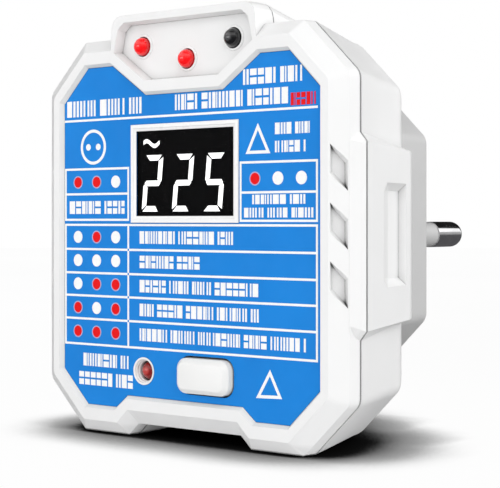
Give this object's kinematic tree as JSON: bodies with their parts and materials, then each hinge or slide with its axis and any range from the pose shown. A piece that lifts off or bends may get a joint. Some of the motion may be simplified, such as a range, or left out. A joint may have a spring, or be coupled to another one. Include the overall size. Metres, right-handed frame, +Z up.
{
  "type": "outlet tester plug",
  "caption": "Plug-in socket tester: white octagonal housing with a blue printed face, voltage display, indicator lamps and a test button, over an earthed two-pin plug.",
  "frame": {"origin": "midway between the two pins, on the plug's mating face", "axes": "+Y out of the plug face along the pins, into the wall socket; +Z up; +X to the right seen from the front"},
  "size_m": [0.0654, 0.0709, 0.0696],
  "materials": {
    "white_abs": "fine satin moulded shell",
    "grey_abs": "satin moulded plug base",
    "sleeve_plastic": "smooth insulating sleeve",
    "nickel": "polished nickel plate",
    "tinned": "tinned wire and terminals",
    "zinc_steel": "zinc plated screws",
    "spring_steel": "drawn spring wire",
    "label_print": "printed blue overlay, fine texture",
    "clear_lens": "clear display lens",
    "lcd_black": "black display glass",
    "diffuser": "milky backlight block",
    "board_green": "solder mask",
    "lamp_red": "lit red lamp dome",
    "lamp_dark": "unlit smoked lamp dome",
    "lamp_dull_red": "unlit red lamp dome",
    "black_plastic": "moulded component bodies",
    "plunger_orange": "moulded plunger",
    "capacitor_sleeve": "shrunk capacitor sleeve",
    "capacitor_yellow": "moulded capacitor box",
    "fuse_brown": "moulded fuse cup",
    "resistor_blue": "lacquered resistor bodies",
    "wire_brown": "brown insulation",
    "wire_blue": "blue insulation",
    "wire_green": "green and yellow insulation"
  },
  "bodies": {
    "housing": {"front_shell": "white_abs", "rear_shell": "white_abs", "plug_base": "grey_abs", "pin_retainer": "grey_abs", "live_pin": "nickel", "neutral_pin": "nickel", "live_sleeve": "sleeve_plastic", "neutral_sleeve": "sleeve_plastic", "earth_strip": "nickel", "front_label": "label_print", "display_window": "clear_lens", "lcd_cell": "lcd_black", "lcd_pins": "tinned", "backlight": "diffuser", "main_board": "board_green", "led_left": "lamp_red", "led_centre": "lamp_red", "led_right": "lamp_dark", "rcd_led": "lamp_dull_red", "button_spring": "spring_steel", "switch_body": "black_plastic", "switch_contact": "tinned", "controller_chip": "black_plastic", "bridge_rectifier": "black_plastic", "filter_capacitor": "capacitor_sleeve", "dropper_capacitor": "capacitor_yellow", "fuse": "fuse_brown", "load_resistors": "resistor_blue", "sense_resistors": "resistor_blue", "live_wire": "wire_brown", "neutral_wire": "wire_blue", "earth_wire": "wire_green", "housing_screws": "zinc_steel", "board_screws": "zinc_steel", "plug_screws": "zinc_steel", "retainer_screws": "zinc_steel"},
    "button": {"rcd_button": "white_abs"},
    "plunger": {"switch_plunger": "plunger_orange"}
  },
  "joints": [
    {"name": "button_press", "type": "slide", "parent": "housing", "child": "button", "axis": [0, 1, 0], "range_m": [0, 0.0012], "stiffness_N_per_m": 120, "springref_m": -0.002, "deforming": ["button_spring"]},
    {"name": "plunger_press", "type": "slide", "parent": "housing", "child": "plunger", "axis": [0, 1, 0], "range_m": [0, 0.0012]}
  ],
  "couplings": [
    {"joint": "plunger_press", "follows": "button_press", "ratio": 1}
  ]
}
